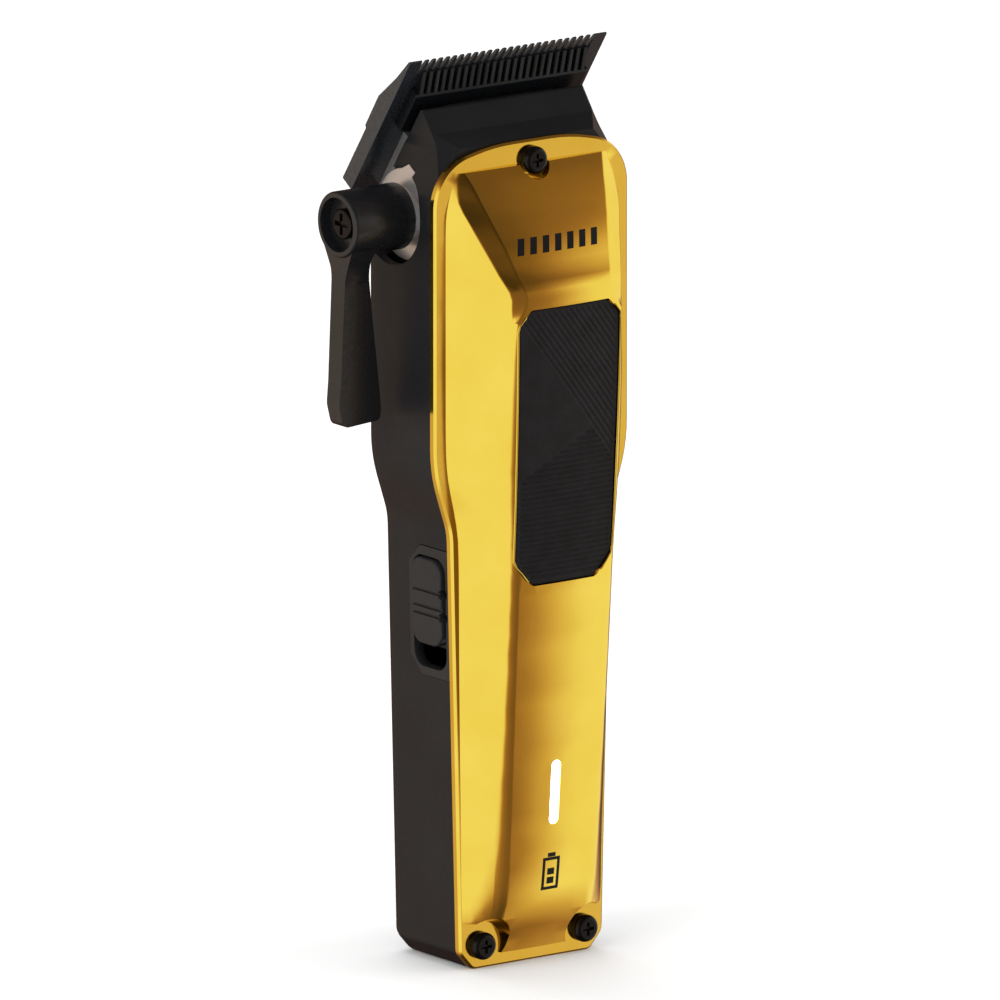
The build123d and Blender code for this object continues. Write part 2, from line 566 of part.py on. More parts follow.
charge_contacts = Compound(children=[
    rod_z(CONTACT_R, 0.3, 6.0, x, CONTACT_Y) + rod_z(CONTACT_R + 0.9, WALL + 0.01, WALL + 1.0, x, CONTACT_Y)
    for x in (-CONTACT_X, CONTACT_X)
])

# ---------------------------------------------------------------- motor
motor_can = fillet(rod_z(MOTOR_R, MOTOR_LOW_Z, MOTOR_HIGH_Z).edges(), 0.8)
motor_can -= rod_z(MOTOR_R - 1.2, MOTOR_LOW_Z + 1.2, MOTOR_HIGH_Z - 1.5)
motor_can -= rod_z(BEARING_R, MOTOR_LOW_Z - 1, MOTOR_HIGH_Z + 1)
CRANK_Z = MOTOR_HIGH_Z + 3.0
shaft_bore = rod_z(MOTOR_SHAFT_R + BEARING_GAP, MOTOR_LOW_Z, CRANK_Z)
bearing_ring = rod_z(BEARING_R - 0.02, MOTOR_HIGH_Z - 1.5, MOTOR_HIGH_Z + 1.8) - shaft_bore
end_bearing = rod_z(BEARING_R - 0.02, MOTOR_LOW_Z - 0.8, MOTOR_LOW_Z + 1.2) - shaft_bore
rotor = rod_z(MOTOR_R - 2.4, MOTOR_LOW_Z + 4, MOTOR_HIGH_Z - 6)
press_bore = rod_z(MOTOR_SHAFT_R + 0.01, MOTOR_LOW_Z, CRANK_Z + 10)
rotor -= press_bore
crank = rod_z(4.2, CRANK_Z, CRANK_Z + 6.0) - press_bore
crank -= box(-6, 6, MOTOR_Y + 2.4, MOTOR_Y + 6, CRANK_Z + 2, CRANK_Z + 7)
crank_pin = rod_z(CRANK_PIN_R, CRANK_Z + 6.01, 150.4, 0.0, MOTOR_Y - CRANK_THROW)
crank_pin += rod_z(2.6, CRANK_Z + 6.0, CRANK_Z + 7.2, 0.0, MOTOR_Y - CRANK_THROW * 0.4)
motor_shaft = rod_z(MOTOR_SHAFT_R, MOTOR_LOW_Z + 0.1, CRANK_Z + 5.98)
motor_mount = box(-17.5, 17.5, -5.5, 3.5, MOTOR_LOW_Z - 3.0, MOTOR_LOW_Z - 0.9)
motor_mount += box(-20.8, 20.8, -5.5, 3.5, MOTOR_HIGH_Z + 0.02, MOTOR_HIGH_Z + 2.0)
motor_mount += box(-17.5, -15.3, -5.5, 3.5, MOTOR_LOW_Z - 3.0, MOTOR_HIGH_Z + 2.0)
motor_mount += box(15.3, 17.5, -5.5, 3.5, MOTOR_LOW_Z - 3.0, MOTOR_HIGH_Z + 2.0)
motor_mount -= rod_z(BEARING_R + 0.3, MOTOR_LOW_Z - 2.0, MOTOR_HIGH_Z + 4.0)
damper_face = [(x, z) for x in (-1, 1) for z in (108.0, 126.0)]
motor_dampers = Compound(children=[
    box(*((-15.28, -10.2) if side < 0 else (10.2, 15.28)), -4.0, 2.0, z - 2, z + 2) for side, z in damper_face
])

# ---------------------------------------------------------------- blades
def teeth_gaps(half_tip, half_root, root_u, v0, v1):
    """The spaces between the teeth, wider at the tips and round at the root."""
    gaps = []
    for i in range(TOOTH_GAPS):
        x = (i - (TOOTH_GAPS - 1) / 2) * TOOTH_PITCH
        gap = [(x - half_tip, -1), (x + half_tip, -1), (x + half_root, root_u), (x - half_root, root_u)]
        gaps.append(blade_prism(polygon(gap), v0, v1))
    return gaps


fixed_blade = blade_side_prism(
    [(0.0, 0.0), (BLADE_LENGTH, 0.0), (BLADE_LENGTH, 1.7), (BLADE_LENGTH - 1.3, 3.4), (20.6, 3.4),
     (20.2, 3.9), (12.5, 4.0), (5.5, 1.75), (0.3, 0.6), (0.0, 0.4)], -BLADE_HALF, BLADE_HALF)
BLADE_SCREW_X, BLADE_SCREW_U = 8.0, 27.0
for x in (-BLADE_SCREW_X, BLADE_SCREW_X):
    fixed_blade -= blade_rod(1.62, x, BLADE_SCREW_U, -1, 5)
    fixed_blade -= blade_rod(2.7, x, BLADE_SCREW_U, 1.8, 5)
HEEL_CORNER = 1.4
heel_cut = polygon([(BLADE_HALF - HEEL_CORNER, BLADE_LENGTH + 0.1), (BLADE_HALF + 0.1, BLADE_LENGTH + 0.1),
                    (BLADE_HALF + 0.1, BLADE_LENGTH - HEEL_CORNER)])
heel_corner = blade_prism(heel_cut, -1, 5)
fixed_blade -= heel_corner
fixed_blade -= mirror(heel_corner, Plane.YZ)
fixed_blade -= teeth_gaps(0.52, 0.38, 5.4, -1, 5)

cutter = blade_side_prism(
    [(CUTTER_TIP_U, -SLIDING_GAP), (CUTTER_TIP_U, -0.5), (7.5, CUTTER_BACK_V), (CUTTER_END_U, CUTTER_BACK_V),
     (CUTTER_END_U, -SLIDING_GAP)], -CUTTER_HALF, CUTTER_HALF)
cutter -= teeth_gaps(0.42, 0.42, 7.0, -3, 1)

# the plastic arm that carries the cutter and straddles the crank pin
pad_plate = blade_box(-9.0, 9.0, 11.2, 16.2, CUTTER_BACK_V - 1.1, CUTTER_BACK_V - 0.01)
post = box(-6.5, 6.5, -1.0, 2.0, 152.2, 172.0) & blade_box(-10, 10, 11.4, 60, -40, CUTTER_BACK_V - 0.5)
prongs = box(-6.5, 6.5, -4.6, 2.0, 145.6, 153.4) - box(-3.75, 3.75, -9, 6, 140, 152.0)
drive_arm = pad_plate + post + prongs

# carrier that the fixed blade is screwed to, with the tab the eccentric drives
CARRIER_V = -3.35
carrier = blade_box(-17.0, 17.0, 19.4, 33.6, CARRIER_V, -0.01)
for x in (-GUIDE_X, GUIDE_X):
    slot = blade_box(x - 1.55, x + 1.55, GUIDE_U - BLADE_TRAVEL - 0.1, GUIDE_U + 0.1, -9, 1)
    slot += blade_rod(1.55, x, GUIDE_U - BLADE_TRAVEL - 0.1, -9, 1) + blade_rod(1.55, x, GUIDE_U + 0.1, -9, 1)
    carrier -= slot
for x in (-BLADE_SCREW_X, BLADE_SCREW_X):
    carrier -= blade_rod(1.25, x, BLADE_SCREW_U, -9, 1)
PIN_V = HUB_V + ECCENTRIC * (1 + math.cos(HALF_SWING)) / 2
PIN_U = (TAB_U0 + TAB_U1) / 2
SLOT_HALF = CAM_PIN_R + 0.2
carrier += blade_box(-14.0, -11.0, TAB_U0, TAB_U1, PIN_V - 2.6, CARRIER_V + 0.5)
SLOT_REACH = SLOT_HALF + 0.15
carrier -= blade_box(-15, -10, PIN_U - SLOT_HALF, PIN_U + SLOT_HALF, PIN_V - SLOT_REACH, PIN_V + SLOT_REACH)
guide_pins = Compound(children=[
    blade_rod(1.5, x, GUIDE_U, BED_V - 1.35, -0.4) for x in (-GUIDE_X, GUIDE_X)
])


def blade_screw(x):
    head = blade_rod(2.6, x, BLADE_SCREW_U, 1.85, 3.3)
    head -= blade_box(x - 1.9, x + 1.9, BLADE_SCREW_U - 0.3, BLADE_SCREW_U + 0.3, 2.5, 4)
    head -= blade_box(x - 0.3, x + 0.3, BLADE_SCREW_U - 1.9, BLADE_SCREW_U + 1.9, 2.5, 4)
    return head + blade_rod(1.22, x, BLADE_SCREW_U, -3.3, 1.9)


blade_screws = Compound(children=[blade_screw(x) for x in (-BLADE_SCREW_X, BLADE_SCREW_X)])


def blade_point(x, u, v):
    return (x,) + yz(u, v)


def spring():
    """Wire spring under the cutter: a bent wire with both ends dropped into the bed."""
    x, u0, u1, v = SPRING_X, SPRING_U0, SPRING_U1, SPRING_V
    corners = [(-x, u1, BED_V - 1.0), (-x, u1, v), (-x, u0, v), (x, u0, v), (x, u1, v), (x, u1, BED_V - 1.0)]
    path = FilletPolyline(*[blade_point(*c) for c in corners], radius=0.6)
    start = Plane(origin=path @ 0, z_dir=path % 0)
    return sweep(start * Circle(SPRING_WIRE_R), path=path)


cutter_spring = spring()

# ---------------------------------------------------------------- lever
CAM_END_X = -15.2
cam_y, cam_z = yz(HUB_U - ECCENTRIC * math.sin(HALF_SWING), HUB_V + ECCENTRIC * math.cos(HALF_SWING))
lever_bush = rod_x(BUSH_R - 0.05, RECESS_X, RECESS_X + WALL + 0.3, HUB_Y, HUB_Z)
lever_bush -= rod_x(CAM_R + CAM_CLEARANCE, -30, 0, HUB_Y, HUB_Z)
lever_plate = plate_arch(RECESS_X - 0.6, RECESS_X - 0.01, 0.0)
lever_plate += rod_x(8.9, RECESS_X - 0.6, RECESS_X - 0.01, HUB_Y, HUB_Z)
lever_plate -= rod_x(CAM_R + 0.4, -30, 0, HUB_Y, HUB_Z)
lever_shaft = rod_x(CAM_R, HUB_IN_X + 0.6, CAM_END_X, HUB_Y, HUB_Z)
lever_shaft += rod_x(CAM_PIN_R, CAM_END_X - 0.1, -10.6, cam_y, cam_z)
lever_shaft -= rod_x(1.3, -30, CAM_END_X - 1.5, HUB_Y, HUB_Z)

ARM_LOW_Z = 107.0
barrel = rod_x(HUB_R, HUB_OUT_X, HUB_IN_X, HUB_Y, HUB_Z)
barrel = fillet(barrel.faces().sort_by(Axis.X)[0].edges(), 0.6)
arm_front = polygon(
    [(-35.6, HUB_Z), (-34.9, 138.0), (-35.9, 116.0), (-36.3, 111.5), (-35.2, ARM_LOW_Z),
     (-26.5, ARM_LOW_Z + 0.6), (-26.3, 110.0), (-28.7, 130.0), (-29.7, 139.5), (-28.0, HUB_Z)],
    {1: 12.0, 2: 20.0, 3: 4.0, 4: 1.6, 5: 1.2, 7: 20.0},
)
ARM_Y0, ARM_Y1 = 0.8, 5.0
arm_side = polygon(
    [(HUB_Y - 6.2, HUB_Z - 1.0), (ARM_Y0 - 0.1, 137.0), (ARM_Y0, 118.0), (ARM_Y0 + 0.2, ARM_LOW_Z - 1),
     (ARM_Y1 - 0.1, ARM_LOW_Z - 1), (ARM_Y1, 118.0), (ARM_Y1 + 0.1, 137.0), (HUB_Y + 6.2, HUB_Z - 1.0)],
    {1: 9.0, 6: 9.0},
)
arm = front_prism(arm_front, -8, 14) & side_prism(arm_side, -40, -20)
lever = barrel + arm
BORE_FLOOR_X = HUB_OUT_X + 2.4
lever -= rod_x(HUB_BORE_R, HUB_OUT_X - 1, BORE_FLOOR_X, HUB_Y, HUB_Z)
lever -= rod_x(1.7, -40, 0, HUB_Y, HUB_Z)
lever -= rod_x(CAM_R, HUB_IN_X + 0.6, 0, HUB_Y, HUB_Z)
LEVER_SCREW_R = 3.0
lever_screw = rod_x(LEVER_SCREW_R, BORE_FLOOR_X - 1.3, BORE_FLOOR_X - 0.01, HUB_Y, HUB_Z)
lever_screw = fillet(lever_screw.faces().sort_by(Axis.X)[0].edges(), 0.5)
for across, along in ((0.45, 2.1), (2.1, 0.45)):
    lever_screw -= box(BORE_FLOOR_X - 2, BORE_FLOOR_X - 0.6, HUB_Y - across, HUB_Y + across,
                       HUB_Z - along, HUB_Z + along)
lever_screw += rod_x(1.27, BORE_FLOOR_X - 0.3, CAM_END_X - 1.6, HUB_Y, HUB_Z)
spring_washer = rod_x(5.2, HUB_IN_X + 0.02, RECESS_X - 0.62, HUB_Y, HUB_Z)
spring_washer -= rod_x(CAM_R + 0.3, -40, 0, HUB_Y, HUB_Z)

# ---------------------------------------------------------------- one file for each piece
nodes = {
    "rear_housing": housing, "front_cover": cover, "grip_pad": pad, "light_pipe": light_pipe,
    "cover_screws": cover_screws, "switch_bezel": bezel, "power_slider": slider,
    "slide_switch": switch_body, "chassis": chassis, "chassis_screws": chassis_screws,
    "battery_cell": battery, "battery_tabs": battery_tabs, "circuit_board": circuit_board,
    "controller_chip": controller_chip, "board_parts": board_parts, "indicator_led": indicator_led,
    "port_shell": port_shell, "port_tongue": port_tongue, "charge_contacts": charge_contacts,
    "motor_can": motor_can, "bearing_ring": bearing_ring, "end_bearing": end_bearing, "rotor_coil": rotor,
    "motor_shaft": motor_shaft, "crank_disc": crank, "crank_pin": crank_pin, "motor_mount": motor_mount,
    "motor_dampers": motor_dampers, "fixed_blade": fixed_blade, "cutter_blade": cutter,
    "drive_arm": drive_arm, "blade_carrier": carrier, "guide_pins": guide_pins,
    "blade_screws": blade_screws, "cutter_spring": cutter_spring, "lever_bush": lever_bush,
    "lever_plate": lever_plate, "lever_shaft": lever_shaft, "taper_lever": lever,
    "lever_screw": lever_screw, "spring_washer": spring_washer,
}
os.makedirs("parts", exist_ok=True)
for name, shape in nodes.items():
    export_step(shape, f"parts/{name}.step")
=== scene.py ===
"""Looks of the cordless hair clipper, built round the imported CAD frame. Metres throughout."""
import math

import bpy
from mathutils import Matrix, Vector
from mathutils.bvhtree import BVHTree


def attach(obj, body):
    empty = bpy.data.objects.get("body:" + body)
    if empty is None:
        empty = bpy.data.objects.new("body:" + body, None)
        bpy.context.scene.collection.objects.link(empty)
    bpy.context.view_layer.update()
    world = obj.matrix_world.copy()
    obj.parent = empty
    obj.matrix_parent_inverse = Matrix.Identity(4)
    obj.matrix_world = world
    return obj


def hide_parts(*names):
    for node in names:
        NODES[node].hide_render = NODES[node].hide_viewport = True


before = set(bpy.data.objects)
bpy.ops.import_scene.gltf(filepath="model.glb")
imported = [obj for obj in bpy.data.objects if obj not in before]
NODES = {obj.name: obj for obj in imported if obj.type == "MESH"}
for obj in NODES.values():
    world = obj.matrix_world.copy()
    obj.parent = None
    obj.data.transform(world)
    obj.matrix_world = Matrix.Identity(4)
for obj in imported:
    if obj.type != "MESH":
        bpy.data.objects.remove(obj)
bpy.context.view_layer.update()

# ---------------------------------------------------------------- camera and light settings
CAMERA_AZIMUTH, CAMERA_ELEVATION = -36.6, 12.9
CAMERA_DISTANCE = 6.0
FRAME_WIDTH = 0.19231            # what the picture's width spans at the clipper
MIDDLE_LEFT, MIDDLE_UP = 0.00608, 0.08834    # the picture's middle from the foot of the cover's rim
RIM_Y = -0.012                   # front face of the cover's rim
CLIP_END = 20.0


# ---------------------------------------------------------------- node helpers
def new_material(name):
    material = bpy.data.materials.new(name)
    material.use_nodes = True
    tree = material.node_tree
    return material, tree, tree.nodes["Principled BSDF"]


def place_coordinates(tree, scale=(1, 1, 1)):
    """The surface's own place in metres, stretched by scale."""
    coordinates = tree.nodes.new("ShaderNodeTexCoord")
    mapping = tree.nodes.new("ShaderNodeMapping")
    mapping.inputs["Scale"].default_value = scale
    tree.links.new(coordinates.outputs["Object"], mapping.inputs["Vector"])
    return mapping.outputs["Vector"]


def noise(tree, scale, detail=4.0, stretch=(1, 1, 1)):
    node = tree.nodes.new("ShaderNodeTexNoise")
    node.inputs["Scale"].default_value = scale
    node.inputs["Detail"].default_value = detail
    tree.links.new(place_coordinates(tree, stretch), node.inputs["Vector"])
    return node.outputs["Fac"]


def ramp(tree, source, stops):
    """A colour ramp; stops are (place, value) with a grey value or an RGB colour."""
    node = tree.nodes.new("ShaderNodeValToRGB")
    elements = node.color_ramp.elements
    while len(elements) < len(stops):
        elements.new(0.5)
    for element, (place, value) in zip(elements, stops):
        element.position = place
        element.color = (value, value, value, 1) if isinstance(value, (int, float)) else (*value, 1)
    tree.links.new(source, node.inputs["Fac"])
    return node.outputs["Color"]


def bump(tree, shader, height, strength, distance):
    node = tree.nodes.new("ShaderNodeBump")
    node.inputs["Strength"].default_value = strength
    node.inputs["Distance"].default_value = distance
    tree.links.new(height, node.inputs["Height"])
    if shader.inputs["Normal"].is_linked:
        tree.links.new(shader.inputs["Normal"].links[0].from_socket, node.inputs["Normal"])
    tree.links.new(node.outputs["Normal"], shader.inputs["Normal"])


# ---------------------------------------------------------------- materials
def plated_gold():
    """Polished gold plating with faint handling haze."""
    material, tree, shader = new_material("gold_plating")
    shader.inputs["Metallic"].default_value = 1.0
    tint = ramp(tree, noise(tree, 90, 3), [(0.3, (0.87, 0.635, 0.085)), (0.7, (0.91, 0.68, 0.11))])
    tree.links.new(tint, shader.inputs["Base Color"])
    haze = ramp(tree, noise(tree, 240, 6), [(0.3, 0.10), (0.75, 0.14)])
    tree.links.new(haze, shader.inputs["Roughness"])
    bump(tree, shader, noise(tree, 1400, 2), 0.02, 0.0001)
    return material


PLASTIC_TINT = (0.84, 0.94, 1.0, 1)      # a cool gloss, which keeps the blacks neutral in the warm tent


def moulded_plastic(name, dark, light, rough, grain=5200, specular=0.5):
    """Satin moulded plastic with a fine spark-eroded grain."""
    material, tree, shader = new_material(name)
    shader.inputs["Specular IOR Level"].default_value = specular
    shader.inputs["Specular Tint"].default_value = PLASTIC_TINT
    tint = ramp(tree, noise(tree, 60, 3), [(0.25, dark), (0.8, light)])
    tree.links.new(tint, shader.inputs["Base Color"])
    sheen = ramp(tree, noise(tree, 900, 5), [(0.3, rough - 0.04), (0.75, rough + 0.05)])
    tree.links.new(sheen, shader.inputs["Roughness"])
    bump(tree, shader, noise(tree, grain, 3), 0.12, 0.00006)
    return material


def coated_steel(name, colour, rough, stretch):
    """Steel with a hard dark coating over fine grinding lines."""
    material, tree, shader = new_material(name)
    shader.inputs["Metallic"].default_value = 0.85
    lines = noise(tree, 1600, 2, stretch)
    tint = ramp(tree, lines, [(0.3, tuple(0.75 * c for c in colour)), (0.75, colour)])
    tree.links.new(tint, shader.inputs["Base Color"])
    haze = ramp(tree, lines, [(0.3, rough - 0.06), (0.75, rough + 0.08)])
    tree.links.new(haze, shader.inputs["Roughness"])
    bump(tree, shader, lines, 0.06, 0.00005)
    return material


def rubber(name, dark, light):
    """Matt rubber with a fine uneven grain."""
    material, tree, shader = new_material(name)
    shader.inputs["Specular IOR Level"].default_value = 0.25
    tint = ramp(tree, noise(tree, 300, 5), [(0.3, dark), (0.75, light)])
    tree.links.new(tint, shader.inputs["Base Color"])
    haze = ramp(tree, noise(tree, 1500, 4), [(0.3, 0.5), (0.75, 0.66)])
    tree.links.new(haze, shader.inputs["Roughness"])
    bump(tree, shader, noise(tree, 9000, 3), 0.15, 0.00004)
    return material


def lit_guide():
    """Frosted light guide, glowing slightly unevenly."""
    material, tree, shader = new_material("lit_light_guide")
    shader.inputs["Base Color"].default_value = (0.95, 0.97, 1.0, 1)
    shader.inputs["Roughness"].default_value = 0.35
    shader.inputs["Emission Strength"].default_value = 7.0
    tree.links.new(ramp(tree, noise(tree, 500, 2), [(0.2, (0.92, 0.96, 1.0)), (0.8, (1, 1, 1))]),
                   shader.inputs["Emission Color"])
    return material


def copper_windings():
    """Copper wire wound in level turns."""
    material, tree, shader = new_material("copper_windings")
    shader.inputs["Metallic"].default_value = 1.0
    lines = noise(tree, 900, 2, (1, 1, 14))
    tree.links.new(ramp(tree, lines, [(0.3, (0.45, 0.17, 0.06)), (0.7, (0.85, 0.42, 0.2))]),
                   shader.inputs["Base Color"])
    shader.inputs["Roughness"].default_value = 0.3
    bump(tree, shader, lines, 0.5, 0.0003)
    return material


GOLD = plated_gold()
HOUSING = moulded_plastic(
    "housing_black", (0.0075, 0.0078, 0.009), (0.011, 0.0115, 0.013), 0.4, specular=0.26
)
SWITCH = moulded_plastic(
    "switch_black", (0.014, 0.0145, 0.016), (0.019, 0.0195, 0.021), 0.38, 3600, specular=0.3
)
LEVER = moulded_plastic(
    "lever_black", (0.006, 0.0062, 0.007), (0.009, 0.0093, 0.0105), 0.3, 3000, specular=0.6
)
CHASSIS = moulded_plastic("chassis_grey", (0.06, 0.06, 0.065), (0.09, 0.09, 0.095), 0.5)
ACETAL = moulded_plastic("acetal_white", (0.62, 0.6, 0.55), (0.72, 0.7, 0.66), 0.42)
BOARD = moulded_plastic("board_green", (0.01, 0.09, 0.035), (0.015, 0.13, 0.05), 0.35)
CHIP = moulded_plastic("chip_black", (0.01, 0.01, 0.01), (0.02, 0.02, 0.02), 0.45)
# The battery cell's wrap gets a near-black colour: painted shade for the dark slot seen behind the power
# slider.
CELL_WRAP_SHADE = moulded_plastic("cell_wrap", (0.012, 0.014, 0.018), (0.02, 0.023, 0.028), 0.35)
RUBBER = rubber("pad_rubber", (0.006, 0.0063, 0.0075), (0.0095, 0.0098, 0.0115))
BLADE = coated_steel("blade_coating", (0.095, 0.112, 0.132), 0.24, (14, 1, 1))
CUTTER = coated_steel("cutter_coating", (0.03, 0.035, 0.04), 0.3, (14, 1, 1))
SCREW = coated_steel("screw_coating", (0.018, 0.018, 0.02), 0.2, (1, 3, 1))
STEEL = coated_steel("satin_steel", (0.78, 0.78, 0.79), 0.34, (1, 8, 1))
BRASS = coated_steel("brass", (0.78, 0.55, 0.24), 0.3, (1, 1, 4))
LIGHT = lit_guide()
COPPER = copper_windings()

NODE_MATERIALS = {
    "rear_housing": HOUSING, "front_cover": GOLD, "grip_pad": RUBBER, "light_pipe": LIGHT,
    "cover_screws": SCREW, "switch_bezel": SWITCH, "power_slider": SWITCH, "slide_switch": CHIP,
    "chassis": CHASSIS, "chassis_screws": STEEL, "battery_cell": CELL_WRAP_SHADE, "battery_tabs": STEEL,
    "circuit_board": BOARD, "controller_chip": CHIP, "board_parts": CHIP, "indicator_led": LIGHT,
    "port_shell": STEEL, "port_tongue": CHIP, "charge_contacts": BRASS, "motor_can": STEEL,
    "bearing_ring": BRASS, "end_bearing": BRASS, "rotor_coil": COPPER, "motor_shaft": STEEL,
    "crank_disc": ACETAL, "crank_pin": STEEL, "motor_mount": CHASSIS, "motor_dampers": RUBBER,
    "fixed_blade": BLADE, "cutter_blade": CUTTER, "drive_arm": ACETAL, "blade_carrier": STEEL,
    "guide_pins": STEEL, "blade_screws": SCREW, "cutter_spring": CUTTER, "lever_bush": BRASS,
    "lever_plate": STEEL, "lever_shaft": STEEL, "taper_lever": LEVER, "lever_screw": SCREW,
    "spring_washer": STEEL,
}
for name, material in NODE_MATERIALS.items():
    for material_slot in NODES[name].material_slots:
        material_slot.material = material


# ---------------------------------------------------------------- edges and shading of the CAD pieces
WELD_DISTANCE = 2e-6
SHARP_ANGLE = math.radians(28)
COVER_SHARP_ANGLE = math.radians(24)


def weld_seams(piece):
    weld = piece.modifiers.new("weld", "WELD")
    weld.merge_threshold = WELD_DISTANCE


def soften_edges(name, width):
    """Rounds a CAD piece's sharp edges as moulding or grinding leaves them."""
    piece = NODES[name]
    weld_seams(piece)
    bevel = piece.modifiers.new("edge", "BEVEL")
    bevel.width = width
    bevel.segments = 3
    bevel.limit_method = "ANGLE"
    bevel.angle_limit = SHARP_ANGLE
    bevel.use_clamp_overlap = True
    bevel.harden_normals = True


EDGE_WIDTHS = {
    "taper_lever": 0.0006, "cover_screws": 0.00015, "lever_screw": 0.0001, "fixed_blade": 0.00012,
    "cutter_blade": 0.0001, "blade_carrier": 0.0002, "switch_bezel": 0.00015, "power_slider": 0.00015,
    "rear_housing": 0.0003, "lever_plate": 0.0001, "blade_screws": 0.0001,
}
for name, width in EDGE_WIDTHS.items():
    soften_edges(name, width)


def smooth_skin(name, angle):
    """Shades a CAD piece's gently bending faces as one surface, and keeps its sharp edges."""
    piece = NODES[name]
    weld_seams(piece)
    split = piece.modifiers.new("edges", "EDGE_SPLIT")
    split.split_angle = angle
    piece.modifiers.new("normals", "WEIGHTED_NORMAL")


smooth_skin("front_cover", COVER_SHARP_ANGLE)


# ---------------------------------------------------------------- pieces laid on the cover
AHEAD_Y = -0.2                   # in front of every piece


def front_tree(name):
    """A search tree of a CAD node's surface, for finding its front face."""
    mesh = NODES[name].data
    return BVHTree.FromPolygons([v.co for v in mesh.vertices], [tuple(p.vertices) for p in mesh.polygons])


def front_y(tree, x, z, fallback=None):
    """How far forward the surface lies at x and z."""
    hit = tree.ray_cast(Vector((x, AHEAD_Y, z)), Vector((0, 1, 0)))[0]
    return hit.y if hit else fallback


def laid_sheet(name, tree, columns, rows, place, height_at, skirt, material, smooth):
    """A sheet that follows the surface of tree; place(s, t) gives its x and z for s and t from 0 to 1.
    It stands height_at(x, z) proud of the surface, and its border turns back by skirt."""
    points, last = [], RIM_Y
    for j in range(rows + 1):
        for i in range(columns + 1):
            x, z = place(i / columns, j / rows)
            last = front_y(tree, x, z, last)
            points.append((x, last - height_at(x, z), z))
    width = columns + 1
    faces = [
        (j * width + i, j * width + i + 1, (j + 1) * width + i + 1, (j + 1) * width + i)
        for j in range(rows) for i in range(columns)
    ]
    border = list(range(width)) + [j * width + columns for j in range(1, rows + 1)]
    border += [rows * width + i for i in range(columns - 1, -1, -1)]
    border += [j * width for j in range(rows - 1, 0, -1)]
    first_back = len(points)
    points += [(points[k][0], points[k][1] + skirt, points[k][2]) for k in border]
    for k, corner in enumerate(border):
        after = (k + 1) % len(border)
        faces.append((corner, first_back + k, first_back + after, border[after]))
    mesh = bpy.data.meshes.new(name)
    mesh.from_pydata(points, [], faces)
    mesh.materials.append(material)
    piece = bpy.data.objects.new(name, mesh)
    bpy.context.collection.objects.link(piece)
    for polygon in mesh.polygons:
        polygon.use_smooth = smooth and polygon.index < rows * columns
    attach(piece, "body")
    return piece


PAD_OUTLINE = ((0.0766, 0.0075), (0.0812, 0.0115), (0.1282, 0.0120), (0.1312, 0.0092))   # z and half-width
PAD_CORNER = 0.0009
PAD_FILL = 0.999                         # share of the half-width that the ribbed surface takes
PAD_COLUMNS, PAD_ROWS = 130, 360
PAD_SKIRT = 0.001
RIB_PITCH, RIB_DEPTH = 0.00105, 0.00024
RIB_MARGIN, MARGIN_FADE = 0.0005, 0.0007    # plain margin inside the pad's rim, and where ribs deepen
FIELD_FADE = 0.0006                      # where ribs deepen past the line between two fields
HATCH_SHARE = 0.6                        # depth of the slanted ribs against the level ones
ROUND_DROP, ROUND_WIDTH = 0.0002, 0.0004    # the pad's rounded edge
KNEE_X, KNEE_Z = 0.0055, 0.1067          # where the pad's three fields meet
HATCH_SLOPE, RIB_SLOPE = -1.29, 0.54


def pad_half_width(z):
    for (z0, half0), (z1, half1) in zip(PAD_OUTLINE, PAD_OUTLINE[1:]):
        if z <= z1:
            half = half0 + (half1 - half0) * max(0.0, (z - z0) / (z1 - z0))
            break
    else:
        half = PAD_OUTLINE[-1][1]
    near_end = max(0.0, PAD_CORNER - min(z - PAD_OUTLINE[0][0], PAD_OUTLINE[-1][0] - z))
    return half - near_end * near_end / PAD_CORNER


def groove(distance):
    """A row of rounded ribs across distance, 0 on their crests and -RIB_DEPTH between them."""
    return -RIB_DEPTH * (0.5 - 0.5 * math.cos(2 * math.pi * distance / RIB_PITCH)) ** 2


def pad_relief(x, z):
    """Level ribs low on the pad, slanted ones high on its right, and a plain field between them."""
    hatch_edge = KNEE_Z + HATCH_SLOPE * (x - KNEE_X)
    rib_edge = KNEE_Z + RIB_SLOPE * (x - KNEE_X)
    above_hatch = (z - hatch_edge) / math.hypot(1, HATCH_SLOPE)
    below_ribs = min(rib_edge - z, hatch_edge - z)
    half = pad_half_width(z)
    rim = min(half - abs(x), z - PAD_OUTLINE[0][0], PAD_OUTLINE[-1][0] - z)
    inside = min(1.0, max(0.0, (rim - RIB_MARGIN) / MARGIN_FADE))
    edge_round = -ROUND_DROP * max(0.0, 1 - rim / ROUND_WIDTH) ** 2
    if below_ribs > 0:
        return edge_round + inside * min(1.0, below_ribs / FIELD_FADE) * groove(z - PAD_OUTLINE[0][0])
    if above_hatch > 0:
        return edge_round + HATCH_SHARE * inside * min(1.0, above_hatch / FIELD_FADE) * groove(above_hatch)
    return edge_round


def grip_surface():
    """The pad with its ribs, in place of the plain CAD pad."""
    low, high = PAD_OUTLINE[0][0], PAD_OUTLINE[-1][0]

    def place(s, t):
        z = low + (high - low) * t
        return (2 * s - 1) * pad_half_width(z) * PAD_FILL, z

    piece = laid_sheet("grip_pad_surface", front_tree("grip_pad"), PAD_COLUMNS, PAD_ROWS, place, pad_relief,
                       PAD_SKIRT, RUBBER, smooth=True)
    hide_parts("grip_pad")


BEAD_R = 0.00022
BEAD_RISE = 0.2                          # how far its centre stands proud, in radii
BEAD_STEPS, BEAD_SIDES = 40, 8
OUTSIDE, INSIDE = 1.02, 0.98             # where the cover and the pad are felt for, against the bead's x


